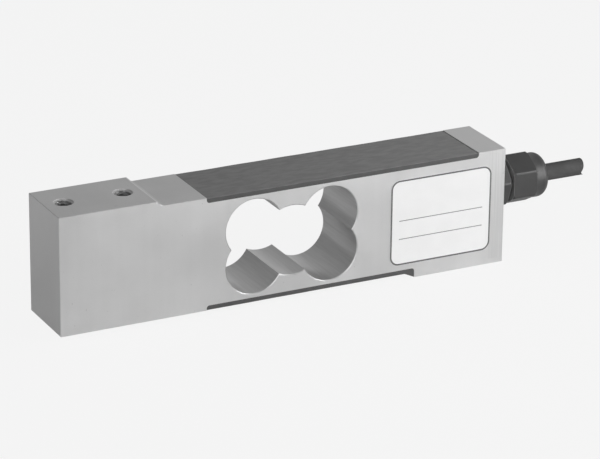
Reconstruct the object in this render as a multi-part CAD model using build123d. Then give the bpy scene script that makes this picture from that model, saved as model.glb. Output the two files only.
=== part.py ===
from build123d import *
import math
import os

# Single point load cell: a milled bending beam with a four lobed opening, potted strain gauges
# above and below it, and a cable gland in one end face.
# The origin is the centre of the two tapped holes of the lower pad, on the pad's face.
# +X runs along the beam to the cable end, +Y from the labelled side to the back, +Z up.
# Lengths are millimetres and angles are degrees.

# Beam
beam_length = 150.0
beam_width = 23.0
core_height = 36.2
pad_height = 1.5
pad_length = 31.5
step_run = 2.2
edge_chamfer = 0.15

# Tapped holes, two in each pad
hole_inset = 6.35
hole_spacing = 19.05
thread_radius = 3.0
thread_depth = 12.0
mouth_chamfer = 0.15

# Opening of four lobes and a round throat, centred between the two flats
opening_from_load_end = 76.1
lobe_radius = 9.5
lobe_pitch = 25.4
lobe_web = 1.25
throat_radius = 11.2
rim_chamfer = 0.25

# Grooves for the potting
groove_depth = 1.6
groove_from_load_end = 47.5
groove_from_cable_end = 9.6
groove_corner = 0.9
potting_recess = 0.15
potting_round = 0.15
potting_gap = 0.02
bead_run = 3.3
bead_rise = 1.5

# Strain gauges
gauge_length = 8.0
gauge_width = 5.4
gauge_film = 0.08
grid_foil = 0.04
grid_length = 3.2
grid_strands = 7
strand_width = 0.22
strand_pitch = 0.48
grid_margin = 0.8
tab_size = 1.2
tab_offset = 1.3

# Board pocket, board and what it carries
board_from_cable_end = 12.0
board_length = 18.0
board_width = 14.0
board_thickness = 1.0
board_corner = 2.0
board_gap = 0.05
ledge = 1.0
resistor_count = 4
resistor_length = 1.25
resistor_width = 2.0
resistor_height = 0.5
resistor_pitch = 3.0
resistor_offset = -2.8
span_resistor_length = 1.6
span_resistor_width = 3.2
span_resistor_height = 0.6
span_resistor_offset = 7.2
core_landing_near = 5.2
core_landing_far = 1.6
solder_length = 1.0
solder_width = 0.5
joint_size = 1.1
pocket_clearance = 0.05

# Flat leads of the gauges and the drilled way between the grooves
lead_width = 0.4
lead_thickness = 0.2
lead_clearance = 0.1
way_from_cable_end = 44.5
way_offset = 5.0
way_radius = 1.6
lead_pitch = 0.7
lead_landing = 1.6
outer_load_lane = -4.3
inner_load_lane = -3.3

# Cable
gland_height = 21.0
cable_radius = 2.5
sheath_wall = 0.62
shield_wall = 0.2
core_radius = 0.65
conductor_radius = 0.3
core_knee = 1.5
cable_clearance = 0.03
cable_stub = 15.15
strip_from_cable_end = 10.5
cut_top_setback = 0.5
cut_swell_rise = 0.5
cut_shoulder_setback = 0.4
cut_shoulder_drop = 1.3
cut_notch_depth = 0.85
cut_notch_drop = 1.7
shield_setback = 0.3
core_setback = 0.2

# Gland
port_radius = 6.0
port_depth = 9.0
port_clearance = 0.05
passage_radius = 3.2
gasket_thickness = 1.0
gasket_radius = 7.1
hex_across_flats = 14.4
hex_round = 1.0
hex_chamfer = 0.4
body_hex_length = 3.8
body_hex_turn = 20.0
neck_radius = 5.6
neck_gap = 1.4
neck_length = 6.7
nut_hex_length = 8.25
dome_length = 5.2
dome_radius = 7.1
dome_round = 2.55
dome_facets = 3
nut_bore_clearance = 0.15
nut_exit_radius = 2.9
nut_exit_length = 2.9
body_bore_radius = 3.1
seal_wall = 1.0
seal_length = 7.5
finger_count = 6
finger_length = 4.0
finger_slot = 0.9
finger_taper = 1.6
finger_clearance = 0.12
cone_end_radius = 4.1

# Label
label_length = 35.3
label_height = 28.0
label_corner = 3.0
label_film = 0.12
label_from_cable_end = 4.9
label_above_flat = 3.45

# Places worked out from the sizes
pattern_from_end = hole_inset + hole_spacing / 2
x_cable_face = pattern_from_end
x_load_face = x_cable_face - beam_length
x_load_pattern = x_load_face + pattern_from_end
x_upper_step = x_load_face + pad_length
x_lower_wall = x_cable_face - pad_length
x_opening = x_load_face + opening_from_load_end
x_groove = x_load_face + groove_from_load_end
x_upper_groove_end = x_cable_face - groove_from_cable_end
y_front = -beam_width / 2
z_lower_flat = pad_height
z_upper_flat = z_lower_flat + core_height
z_upper_pad = z_upper_flat + pad_height
z_middle = z_lower_flat + core_height / 2
z_upper_floor = z_upper_flat - groove_depth
lobe_rise = core_height / 2 - groove_depth - lobe_web - lobe_radius
z_cable = z_lower_flat + gland_height
x_board = x_cable_face - board_from_cable_end - board_length / 2
x_way = x_cable_face - way_from_cable_end
x_strip = x_cable_face - strip_from_cable_end
x_body_hex = x_cable_face + gasket_thickness
x_body_shoulder = x_body_hex + body_hex_length
x_nut = x_body_shoulder + neck_gap
x_dome = x_nut + nut_hex_length
x_dome_end = x_dome + dome_length
x_fingers = x_body_shoulder + neck_length
x_finger_tip = x_fingers + finger_length
x_cone = x_finger_tip - finger_taper
x_cone_end = x_dome_end - nut_exit_length
x_cable_end = x_dome_end + cable_stub
shield_radius = cable_radius - sheath_wall
bundle_radius = shield_radius - shield_wall
core_spread = bundle_radius - core_radius - cable_clearance
seal_radius = cable_radius + seal_wall
tab_height = gauge_film + grid_foil
x_lead_landing = x_board - board_length / 2 + lead_landing
beyond = 1.0


def through_width(face, width=beam_width):
    """A side view face, drawn as X and Z, carried across the beam."""
    return extrude(Plane.XZ * face, width / 2, both=True)


def outline_face(*curves):
    """A face bounded by the given lines and arcs."""
    edges = ShapeList()
    for curve in curves:
        edges += curve.edges()
    return make_face(edges)


def turned_about_x(points, z_axis=0.0):
    """A solid turned about the X direction from points of X and radius."""
    profile = make_face(Plane.XZ * Polyline(*points, close=True))
    return Pos(0, 0, z_axis) * revolve(profile, Axis.X)


def flipped(shape):
    """The same shape on the other flat of the beam."""
    return mirror(shape, about=Plane.XY.offset(z_middle))


def tapped_hole():
    """A blind hole with a flat bottom that opens downwards at the origin, with its mouth chamfered."""
    mouth_radius = thread_radius + mouth_chamfer
    profile = Polyline(
        (0, -beyond),
        (mouth_radius + beyond, -beyond),
        (thread_radius, mouth_chamfer),
        (thread_radius, thread_depth),
        (0, thread_depth),
        close=True,
    )
    return revolve(make_face(Plane.XZ * profile), Axis.Z)


def hole_pair():
    """The two holes of one pad, opening downwards."""
    return Pos(-hole_spacing / 2, 0, 0) * tapped_hole() + Pos(hole_spacing / 2, 0, 0) * tapped_hole()


def chamfered_cross_bore(x, z, radius):
    """A bore right across the beam, chamfered at both side faces."""
    half = beam_width / 2
    bore = Cylinder(radius, beam_width + 2 * beyond)
    rim_length = rim_chamfer + beyond
    rim = Pos(0, 0, half - rim_chamfer + rim_length / 2) * Cone(radius, radius + rim_length, rim_length)
    cutter = bore + rim + mirror(rim, about=Plane.XY)
    return Pos(x, 0, z) * Rot(90, 0, 0) * cutter


def opening_cutter():
    """The four lobes and the throat between them."""
    cutter = chamfered_cross_bore(x_opening, z_middle, throat_radius)
    for side in (-1, 1):
        for level in (-1, 1):
            x = x_opening + side * lobe_pitch / 2
            cutter += chamfered_cross_bore(x, z_middle + level * lobe_rise, lobe_radius)
    return cutter


def groove_face(x_start, x_end, z_floor, z_top, corner):
    """The side view of a groove, or of what fills it, with its two lower corners rounded."""
    size = Rectangle(x_end - x_start, z_top - z_floor)
    placed = Pos((x_start + x_end) / 2, (z_floor + z_top) / 2) * size
    return fillet(placed.vertices().sort_by(Axis.Y)[:2], corner)


def groove_cutter(x_start, x_end):
    """The milling cutter's way for a groove in the upper flat."""
    face = groove_face(x_start, x_end, z_upper_floor, z_upper_flat + beyond + pad_height, groove_corner)
    return through_width(face, beam_width + 2 * beyond)


def board_pocket():
    """The ledge that the board lies on and the deeper pocket for the cores below it."""
    seat = extrude(
        RectangleRounded(board_length + 2 * board_gap, board_width + 2 * board_gap, board_corner),
        board_thickness + beyond,
    )
    deep = z_upper_floor - board_thickness - z_cable + passage_radius
    well = extrude(RectangleRounded(board_length - 2 * ledge, board_width - 2 * ledge, board_corner), -deep)
    return Pos(x_board, 0, z_upper_floor - board_thickness) * (seat + well)


def gland_port():
    """The tapped port for the gland and the cable's way on to the board pocket."""
    pocket_wall = x_board + board_length / 2 - ledge
    return turned_about_x(
        [
            (pocket_wall - beyond, 0),
            (pocket_wall - beyond, passage_radius),
            (x_cable_face - port_depth, passage_radius),
            (x_cable_face - port_depth, port_radius),
            (x_cable_face + beyond, port_radius),
            (x_cable_face + beyond, 0),
        ],
        z_cable,
    )


def make_beam():
    """The block with its pads and step, and everything that is milled and drilled into it."""
    corners = Polyline(
        (x_upper_step, z_upper_pad),
        (x_load_face, z_upper_pad),
        (x_load_face, z_lower_flat),
        (x_lower_wall, z_lower_flat),
        (x_lower_wall, 0),
        (x_cable_face, 0),
        (x_cable_face, z_upper_flat),
        (x_upper_step + step_run, z_upper_flat),
    )
    step = TangentArc((x_upper_step + step_run, z_upper_flat), (x_upper_step, z_upper_pad), tangent=(-1, 0))
    block = through_width(outline_face(corners, step))
    ends = block.faces().filter_by(Axis.X).sort_by(Axis.X)
    rims = block.faces().filter_by(Axis.Y).edges() + ends[0].edges() + ends[-1].edges()
    unique = [edge for i, edge in enumerate(rims) if not any(edge.is_same(other) for other in rims[:i])]
    block = chamfer(unique, edge_chamfer)
    block -= opening_cutter()
    block -= groove_cutter(x_groove, x_upper_groove_end)
    block -= flipped(groove_cutter(x_groove, x_lower_wall))
    block -= hole_pair()
    block -= Pos(x_load_pattern, 0, z_upper_pad) * Rot(180, 0, 0) * hole_pair()
    block -= board_pocket()
    block -= gland_port()
    block -= Pos(x_way, way_offset, z_middle) * Cylinder(way_radius, core_height)
    return block


def gauge_grid_boxes():
    """Sizes and centres of the foil's strands, end links and tabs, with the grid's middle at the origin."""
    boxes = []
    span = (grid_strands - 1) * strand_pitch
    for i in range(grid_strands):
        boxes.append((grid_length, strand_width, 0, i * strand_pitch - span / 2))
    for i in range(grid_strands - 1):
        x = (grid_length - strand_width) / 2 * (1 if i % 2 else -1)
        boxes.append((strand_width, strand_pitch, x, (i + 0.5) * strand_pitch - span / 2))
    lead = grid_margin + tab_size / 2
    for side in (-1, 1):
        boxes.append((lead, strand_width, (grid_length + lead) / 2, side * span / 2))
        boxes.append((tab_size, tab_size, grid_length / 2 + lead, side * tab_offset))
    return boxes


def make_gauge(x):
    """One foil gauge, its film on the upper groove's floor at x."""
    film = Pos(grid_margin, 0, gauge_film / 2) * Box(gauge_length, gauge_width, gauge_film)
    level = gauge_film + grid_foil / 2
    foil = [Pos(bx, by, level) * Box(sx, sy, grid_foil) for sx, sy, bx, by in gauge_grid_boxes()]
    return Pos(x, 0, z_upper_floor) * (film + foil)


def gauge_places():
    """The two places along the beam where a lobe leaves the web thinnest."""
    return {"load_end": x_opening - lobe_pitch / 2, "cable_end": x_opening + lobe_pitch / 2}


def lead_level():
    """How far the middle of a lead that lies on a tab or pad is above the groove's floor."""
    return tab_height + lead_thickness / 2


def lead_start(x_gauge):
    """Where along the beam a lead leaves its gauge's tab."""
    return x_gauge + grid_length / 2 + grid_margin + tab_size / 2


def lead_routes(upper):
    """Corner points of the four leads of one flat, as they lie above the upper groove's floor."""
    places = gauge_places()
    way_lanes = [way_offset + (i - 1.5) * lead_pitch for i in range(4)]
    routes = []
    for name, lanes in (("cable_end", way_lanes[:2]), ("load_end", way_lanes[2:])):
        x_start = lead_start(places[name])
        for tab, lane in zip((-tab_offset, tab_offset), lanes):
            x_finish = x_lead_landing if upper else x_way
            if upper and name == "cable_end":
                routes.append([(x_start, tab), (x_finish, tab)])
                continue
            if upper:
                lane = outer_load_lane if tab < 0 else inner_load_lane
            near = x_start + 2 * tab_size
            far = near + abs(lane - tab)
            routes.append([(x_start, tab), (near, tab), (far, lane), (x_finish, lane)])
    return routes


def bar_along(points, section):
    """A bar of one section along straight runs that start level, with mitred corners."""
    path = Polyline(*points)
    start = Plane(origin=path @ 0, x_dir=(0, 1, 0), z_dir=path % 0)
    return sweep(start * section, path=path, transition=Transition.RIGHT)


def make_top_leads():
    """Flat leads from the two upper gauges straight to the board."""
    z = z_upper_floor + lead_level()
    section = Rectangle(lead_width, lead_thickness)
    leads = [bar_along([(x, y, z) for x, y in route], section) for route in lead_routes(True)]
    return Compound(children=leads)


def make_bottom_leads():
    """Flat leads from the two lower gauges, up through the drilled way and on to the board."""
    z_low = z_lower_flat + groove_depth - lead_level()
    z_high = z_upper_floor + lead_level()
    leads = []
    for route in lead_routes(False):
        points = [(x, y, z_low) for x, y in route]
        lane = route[-1][1]
        points += [(x_way, lane, z_high), (x_lead_landing, lane, z_high)]
        leads.append(bar_along(points, Rectangle(lead_width, lead_thickness)))
    return Compound(children=leads)


def lead_slot(start, end):
    """The room that the compound leaves round one straight stretch of lead on the upper floor."""
    dx, dy = end[0] - start[0], end[1] - start[1]
    width = lead_width + 2 * lead_clearance
    height = tab_height + lead_thickness + lead_clearance
    turn = math.degrees(math.atan2(dy, dx))
    slot = Box(math.hypot(dx, dy) + width, width, height)
    middle = Pos((start[0] + end[0]) / 2, (start[1] + end[1]) / 2, z_upper_floor + height / 2)
    return middle * Rot(0, 0, turn) * slot


def routes_room(routes):
    """The slots of several leads in one piece."""
    slots = [lead_slot(a, b) for route in routes for a, b in zip(route, route[1:])]
    return slots[0] + slots[1:]


def gauge_room():
    """Room for the two gauges of one flat."""
    clear = 2 * pocket_clearance
    height = tab_height + pocket_clearance
    room = Box(gauge_length + clear, gauge_width + clear, height)
    level = z_upper_floor + height / 2
    first, second = [Pos(x + grid_margin, 0, level) * room for x in gauge_places().values()]
    return first + second


def component_boxes(clearance=0.0):
    """The small resistors and the span resistor on the board, each as a box."""
    boxes = []
    for i in range(resistor_count):
        y = (i - (resistor_count - 1) / 2) * resistor_pitch
        boxes.append((x_board + resistor_offset, y, resistor_length, resistor_width, resistor_height))
    x_span = x_board + span_resistor_offset
    boxes.append((x_span, 0, span_resistor_length, span_resistor_width, span_resistor_height))
    solids = []
    for x, y, sx, sy, sz in boxes:
        height = sz + clearance
        box = Box(sx + 2 * clearance, sy + 2 * clearance, height)
        solids.append(Pos(x, y, z_upper_floor + height / 2) * box)
    return solids


def soft_edged(slab, z_surface):
    """The slab with the edges of its open surface rounded, as a poured compound sets."""
    surface = slab.faces().filter_by(Axis.Z).filter_by(lambda face: abs(face.center().Z - z_surface) < 0.01)
    return fillet(surface.edges(), potting_round)


def make_top_potting():
    """Compound in the upper groove, with room for gauges, leads and components below it."""
    z_surface = z_upper_flat - potting_recess
    face = groove_face(
        x_groove + potting_gap,
        x_upper_groove_end - potting_gap,
        z_upper_floor,
        z_surface,
        groove_corner + potting_gap,
    )
    slab = soft_edged(through_width(face), z_surface)
    slab -= gauge_room()
    slab -= routes_room(lead_routes(True))
    lanes = [route[-1][1] for route in lead_routes(False)]
    slab -= routes_room([[(x_way, lane), (x_lead_landing, lane)] for lane in lanes])
    for room in component_boxes(pocket_clearance) + joint_blocks(pocket_clearance):
        slab -= room
    return slab


def make_bottom_potting():
    """Compound in the lower groove, made over the upper flat and flipped, with a bead up the pad's wall."""
    z_surface = z_upper_flat - potting_recess
    x_start, x_end = x_groove + potting_gap, x_lower_wall - potting_gap
    face = groove_face(x_start, x_end, z_upper_floor, z_surface, groove_corner + potting_gap)
    slab = soft_edged(through_width(face), z_surface)
    below = z_surface - potting_round
    foot, crest = (x_end - bead_run, z_surface), (x_end, z_surface + bead_rise)
    bead = make_face(Polyline(foot, crest, (x_end, below), (foot[0], below), close=True))
    slab += through_width(bead, beam_width - 2 * potting_round)
    slab -= gauge_room()
    slab -= routes_room(lead_routes(False))
    return flipped(slab)


def make_board():
    """The board, with a six sided hole for each of the cable's conductors."""
    outline = Pos(x_board, 0) * RectangleRounded(board_length, board_width, board_corner)
    for x, y in core_landings():
        outline -= Pos(x, y) * RegularPolygon(conductor_radius + pocket_clearance, 6, rotation=90)
    return Pos(0, 0, z_upper_floor - board_thickness) * extrude(outline, board_thickness)


def joint_blocks(clearance=0.0):
    """The solder round each conductor where it comes up through the board."""
    height = tab_height + clearance
    side = joint_size + 2 * clearance
    block = Pos(0, 0, z_upper_floor + height / 2) * Box(side, side, height)
    return [Pos(x, y, 0) * block for x, y in core_landings()]


def make_solder(conductors):
    """The tinned pads that the gauges' leads lie on, and the joints round the conductors."""
    pad = Pos(x_lead_landing - solder_length / 2, 0, z_upper_floor + tab_height / 2)
    pad *= Box(solder_length, solder_width, tab_height)
    solids = [Pos(0, route[-1][1], 0) * pad for route in lead_routes(True) + lead_routes(False)]
    solids += [block - conductor for block, conductor in zip(joint_blocks(), conductors)]
    return Compound(children=solids)


def core_seats():
    """Places of the four cores round the cable's axis, as Y and Z, the two upper ones first."""
    reach = core_spread / math.sqrt(2)
    return [(-reach, reach), (reach, reach), (-reach, -reach), (reach, -reach)]


def core_landings():
    """Where the four conductors come up through the board, the upper cores nearest the gland."""
    landings = (core_landing_near, core_landing_near, core_landing_far, core_landing_far)
    return [(x_board + x, y) for x, (y, z) in zip(landings, core_seats())]


def core_route(seat, x_landing, z_top):
    """A core's straight run in the cable, its knee and its rise to the board."""
    y, z = seat
    level = z_cable + z
    return [
        (x_cable_end + beyond, y, level),
        (x_landing + core_knee, y, level),
        (x_landing, y, level + core_knee),
        (x_landing, y, z_top),
    ]


def cable_end_cutter(setback=0.0):
    """What a rough cut takes off the cable's end: it leaves a swell, a notch and a lower lip."""
    reach = cable_radius + beyond
    x = x_cable_end - setback
    x_top = x - cut_top_setback
    shoulder = (x - cut_shoulder_setback, -cut_shoulder_drop)
    swell = ThreePointArc((x_top, cable_radius), (x, cut_swell_rise), shoulder)
    rest = Polyline(
        shoulder,
        (x - cut_notch_depth, -cut_notch_drop),
        (x, -cable_radius),
        (x, -reach),
        (x + reach, -reach),
        (x + reach, reach),
        (x_top, reach),
        (x_top, cable_radius),
    )
    return Pos(0, 0, z_cable) * through_width(outline_face(swell, rest), 2 * reach)


def cable_layer(outer, inner, setback):
    """One tubular layer of the cable, from where it is stripped to the cut."""
    layer = turned_about_x(
        [(x_strip, inner), (x_strip, outer), (x_cable_end + beyond, outer), (x_cable_end + beyond, inner)],
        z_cable,
    )
    return layer - cable_end_cutter(setback)


def make_cores():
    """The four insulated cores, each hollow for its conductor, and the six sided bundles of strands."""
    names = ("core_green", "core_black", "core_white", "core_red")
    cores, conductors = {}, []
    z_bare = z_upper_floor - board_thickness - core_radius
    for name, seat, (x_landing, y) in zip(names, core_seats(), core_landings()):
        jacket = bar_along(core_route(seat, x_landing, z_bare), Circle(core_radius))
        bundle = RegularPolygon(conductor_radius, 6)
        conductor = bar_along(core_route(seat, x_landing, z_upper_floor + tab_height), bundle)
        cores[name] = jacket - conductor - cable_end_cutter(core_setback)
        conductors.append(conductor - cable_end_cutter())
    return cores, conductors


def rounded_hex(length, turn):
    """A hexagonal bar along X from the origin, its corners rounded and its end edges chamfered."""
    corner = hex_across_flats / math.sqrt(3)
    flat = fillet(RegularPolygon(corner, 6, rotation=90 + turn).vertices(), hex_round)
    bar = extrude(Plane.YZ * flat, length)
    outer = corner - hex_round * (2 / math.sqrt(3) - 1)
    trim = turned_about_x(
        [
            (0, 0),
            (0, outer - hex_chamfer),
            (hex_chamfer, outer),
            (length - hex_chamfer, outer),
            (length, outer - hex_chamfer),
            (length, 0),
        ]
    )
    return bar & trim


def make_gland_body():
    """Threaded stem, hexagon, upper thread and the clamping fingers, moulded as one piece."""
    stem_start = x_cable_face - port_depth + beyond
    stem_radius = port_radius - port_clearance
    turned = turned_about_x(
        [
            (stem_start, 0),
            (stem_start, stem_radius),
            (x_body_hex + beyond, stem_radius),
            (x_body_hex + beyond, neck_radius),
            (x_cone, neck_radius),
            (x_finger_tip, nut_cone_radius(x_finger_tip) - finger_clearance),
            (x_finger_tip, 0),
        ]
    )
    seal_seat = x_finger_tip - seal_length
    seat_radius = seal_radius + cable_clearance
    bore = turned_about_x(
        [
            (stem_start - beyond, 0),
            (stem_start - beyond, body_bore_radius),
            (seal_seat, body_bore_radius),
            (seal_seat, seat_radius),
            (x_finger_tip + beyond, seat_radius),
            (x_finger_tip + beyond, 0),
        ]
    )
    body = turned + Pos(x_body_hex, 0, 0) * rounded_hex(body_hex_length, body_hex_turn) - bore
    for i in range(finger_count):
        slot = Pos(x_finger_tip, 0, neck_radius) * Box(2 * finger_length, finger_slot, 2 * neck_radius)
        body -= Rot(360 / finger_count * (i + 0.5), 0, 0) * slot
    return Pos(0, 0, z_cable) * body


def nut_cone_radius(x):
    """Inner radius of the dome nut's cone at a place along it."""
    start_radius = neck_radius + nut_bore_clearance
    share = (x - x_cone) / (x_cone_end - x_cone)
    return start_radius + (cone_end_radius - start_radius) * share


def dome_shoulder():
    """Points of the dome's rounded shoulder, as X and radius, along a quarter circle."""
    points = []
    for i in range(dome_facets + 1):
        angle = math.radians(90 * i / dome_facets)
        x = x_dome_end - dome_round * (1 - math.sin(angle))
        points.append((x, dome_radius - dome_round * (1 - math.cos(angle))))
    return points


def make_gland_nut():
    """The dome nut: hexagon, round dome, threaded bore and the cone that presses the fingers in."""
    dome = turned_about_x(
        [(x_dome_end, 0), (x_nut + hex_chamfer, 0), (x_nut + hex_chamfer, dome_radius)] + dome_shoulder()
    )
    shell = dome + Pos(x_nut, 0, 0) * rounded_hex(nut_hex_length, 0)
    shell -= turned_about_x(
        [
            (x_nut - beyond, 0),
            (x_nut - beyond, nut_cone_radius(x_cone)),
            (x_cone, nut_cone_radius(x_cone)),
            (x_cone_end, cone_end_radius),
            (x_cone_end, nut_exit_radius),
            (x_dome_end + beyond, nut_exit_radius),
            (x_dome_end + beyond, 0),
        ]
    )
    return Pos(0, 0, z_cable) * shell


def ring(x_start, x_end, outer, inner):
    """A plain ring about the cable's axis."""
    return turned_about_x([(x_start, inner), (x_start, outer), (x_end, outer), (x_end, inner)], z_cable)


def make_label():
    """The label film on the front face."""
    x = x_cable_face - label_from_cable_end - label_length / 2
    z = z_lower_flat + label_above_flat + label_height / 2
    face = Pos(x, z) * RectangleRounded(label_length, label_height, label_corner)
    return Pos(0, y_front, 0) * extrude(Plane.XZ * face, label_film)


def build():
    """All pieces, each under its node's name."""
    parts = {"beam": make_beam()}
    parts["top_potting"] = make_top_potting()
    parts["bottom_potting"] = make_bottom_potting()
    for name, x in gauge_places().items():
        gauge = make_gauge(x)
        parts["strain_gauge_top_" + name] = gauge
        parts["strain_gauge_bottom_" + name] = flipped(gauge)
    parts["circuit_board"] = make_board()
    *small, span = component_boxes()
    parts["board_resistors"] = Compound(children=small)
    parts["span_resistor"] = span
    parts["top_gauge_wires"] = make_top_leads()
    parts["bottom_gauge_wires"] = make_bottom_leads()
    parts["gland_body"] = make_gland_body()
    parts["gland_gasket"] = ring(x_cable_face, x_body_hex, gasket_radius, port_radius)
    seal_start = x_finger_tip - seal_length
    parts["gland_seal"] = ring(seal_start, x_finger_tip, seal_radius, cable_radius + cable_clearance)
    parts["gland_nut"] = make_gland_nut()
    parts["cable_sheath"] = cable_layer(cable_radius, shield_radius + cable_clearance, 0.0)
    parts["cable_shield"] = cable_layer(shield_radius, bundle_radius, shield_setback)
    cores, conductors = make_cores()
    parts.update(cores)
    parts["core_conductors"] = Compound(children=conductors)
    parts["solder_joints"] = make_solder(conductors)
    parts["label"] = make_label()
    return parts


os.makedirs("parts", exist_ok=True)
for node, shape in build().items():
    export_step(shape, "parts/" + node + ".step")
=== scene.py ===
import math

import bpy
import numpy as np
from bpy.props import FloatProperty, FloatVectorProperty, PointerProperty
from mathutils import Matrix, Vector


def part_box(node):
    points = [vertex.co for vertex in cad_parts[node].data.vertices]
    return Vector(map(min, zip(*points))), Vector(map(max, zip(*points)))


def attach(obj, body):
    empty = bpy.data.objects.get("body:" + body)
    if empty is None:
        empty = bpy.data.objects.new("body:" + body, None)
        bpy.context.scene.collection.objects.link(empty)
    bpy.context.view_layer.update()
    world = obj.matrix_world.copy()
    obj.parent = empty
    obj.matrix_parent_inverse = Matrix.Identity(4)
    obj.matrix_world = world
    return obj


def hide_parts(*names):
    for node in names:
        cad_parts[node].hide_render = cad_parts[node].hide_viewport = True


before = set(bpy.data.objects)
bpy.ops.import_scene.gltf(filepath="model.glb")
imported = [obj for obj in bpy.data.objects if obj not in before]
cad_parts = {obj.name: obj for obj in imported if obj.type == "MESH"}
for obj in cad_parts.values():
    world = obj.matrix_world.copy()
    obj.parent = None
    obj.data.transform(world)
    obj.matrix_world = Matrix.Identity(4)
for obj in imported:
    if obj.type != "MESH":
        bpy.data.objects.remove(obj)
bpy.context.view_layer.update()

bl_info = {
    "name": "Single point load cell",
    "version": (1, 0, 0),
    "blender": (4, 5, 0),
    "location": "3D View > Sidebar > Load cell",
    "description": "Dresses the packed load cell with its finishes, threads, label, gland and cable",
    "category": "Object",
}

MM = 0.001
BODY = "root"

# Places and sizes shared with the solids, in millimetres
BEAM_HALF_WIDTH = 11.5
UPPER_FLAT, UPPER_PAD, LOWER_FLAT = 37.7, 39.2, 1.5
LOAD_PATTERN, HOLE_SPACING = -118.25, 19.05
HOLE_RADIUS, HOLE_DEPTH = 3.0, 12.0
GROOVE_START, UPPER_GROOVE_END, LOWER_WALL = -86.625, 6.275, -15.625
GROOVE_DEPTH, GROOVE_CORNER = 1.6, 0.92
UPPER_STEP = -102.625
CABLE_HEIGHT = 22.5
STEM_START, GASKET_FACE, BODY_SHOULDER = 7.875, 16.875, 20.675
SEAL_START, SLOT_START, FINGER_END = 23.875, 27.375, 31.375
NUT_FACE, CONE_START, DOME_START, CONE_END, DOME_END = 22.075, 29.775, 30.325, 32.625, 35.525
STEM_RADIUS, BODY_BORE, SEAL_BORE = 5.95, 3.1, 3.53
NECK_RADIUS, FINGER_TIP, SLOT_FLOOR, SLOT_HALF_WIDTH = 5.6, 4.7, 3.6, 0.45
NUT_BORE, NUT_CONE, NUT_EXIT = 5.75, 4.1, 2.9
SHEATH_START, CABLE_END = 5.375, 50.675

# Sizes of what is added here, in millimetres
THREAD_START, LEAD_IN, THREAD_STOP, LINING_OVERLAP = 0.16, 0.3, 0.1, 0.03
COMPOUND_CLEARANCE, COMPOUND_DROP, CUT_BAND = 0.02, 0.15, 0.04
BEAD_LENGTH, BEAD_HEIGHT = 3.3, 1.5
LABEL_CORNER, BORDER_INSET, RULE_HEIGHTS = 3.0, 0.03, (8.5, 14.5)
INK_SUNK, INK_RAISED = 0.002, 0.008
HEXAGON_CORNER, HEXAGON_TRIM, HEXAGON_CHAMFER = 1.0, 0.155, 0.4
NECK_CORE = 4.9
CUT_HEIGHTS = [-2.7, -2.3, -1.8, -1.0, -0.4, 0.4, 1.2, 1.9, 2.7]
CUT_REACHES = [0.35, 0.15, -0.85, -1.25, -0.95, -0.6, -0.4, -0.25, -0.1]
SEAL_SQUEEZE_END = CONE_END + 0.6
FLOOR_GAP = 0.05
CAMERA_MIDDLE, CAMERA_RIGHT, CAMERA_DOWN = (-59.125, 1.0, 21.5), 8.9, 2.57


# Surfaces

def grid_quads(rows, columns, wrap_rows):
    """Corner numbers of the quads between neighbours on a grid whose columns close on themselves."""
    used_rows = rows if wrap_rows else rows - 1
    row, column = np.meshgrid(np.arange(used_rows), np.arange(columns), indexing="ij")
    next_row, next_column = (row + 1) % rows, (column + 1) % columns
    corners = [row * columns + column, next_row * columns + column,
               next_row * columns + next_column, row * columns + next_column]
    return np.stack(corners, axis=-1).reshape(-1, 4)


def shell_volume(points, quads, caps):
    """Volume inside a closed shell: a sixth of the sum of a . (b x c) over its triangles."""
    triangles = [quads[:, [0, 1, 2]], quads[:, [0, 2, 3]]]
    for cap in caps:
        triangles.append(np.stack([np.full(len(cap) - 2, cap[0]), cap[1:-1], cap[2:]], axis=1))
    a, b, c = points[np.concatenate(triangles)].transpose(1, 0, 2)
    return float(np.einsum("ij,ij->i", a, np.cross(b, c)).sum() / 6)


def closed_shell(grid, wrap_rows=False):
    """Points and faces of a closed shell, faces outwards: columns go round, rows join up or end in caps."""
    rows, columns, _ = grid.shape
    points = grid.reshape(-1, 3)
    quads = grid_quads(rows, columns, wrap_rows)
    caps = [] if wrap_rows else [np.arange(columns)[::-1], (rows - 1) * columns + np.arange(columns)]
    if shell_volume(points - points.mean(axis=0), quads, caps) < 0:
        quads = quads[:, ::-1]
        caps = [cap[::-1] for cap in caps]
    return points, quads.tolist() + [cap.tolist() for cap in caps]


def add_piece(name, shells, material, smooth_angle=35.0, side=None):
    """One object from closed shells in millimetres, riding on the body, with a mask of its sides or none."""
    points, faces, count = [], [], 0
    for shell_points, shell_faces in shells:
        points.append(shell_points)
        faces += [[corner + count for corner in face] for face in shell_faces]
        count += len(shell_points)
    mesh = bpy.data.meshes.new(name)
    mesh.from_pydata(np.concatenate(points) * MM, [], faces)
    mesh.validate()
    mesh.shade_smooth()
    mesh.set_sharp_from_angle(angle=math.radians(smooth_angle))
    if side is not None:
        mask = mesh.attributes.new("side", "FLOAT", "POINT")
        mask.data.foreach_set("value", side.astype(np.float32).ravel())
    mesh.materials.append(material)
    piece = bpy.data.objects.new(name, mesh)
    bpy.context.scene.collection.objects.link(piece)
    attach(piece, BODY)
    return piece


def round_x(x, radius, angle):
    """Points round the cable's axis: x along it, radius from it, and angle from the back upwards."""
    x, radius, angle = np.broadcast_arrays(x, radius, angle)
    return np.stack([x, radius * np.cos(angle), CABLE_HEIGHT + radius * np.sin(angle)], axis=-1)


def turned(profile, angle):
    """A turned stretch round the cable's axis: a ring for each place and radius of its profile."""
    x, radius = np.array(profile).T[..., None]
    return round_x(x, radius, angle)


def full_turn(count):
    """Evenly spaced angles of one turn, as a row."""
    return np.linspace(0, 2 * np.pi, count, endpoint=False)[None, :]


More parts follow.
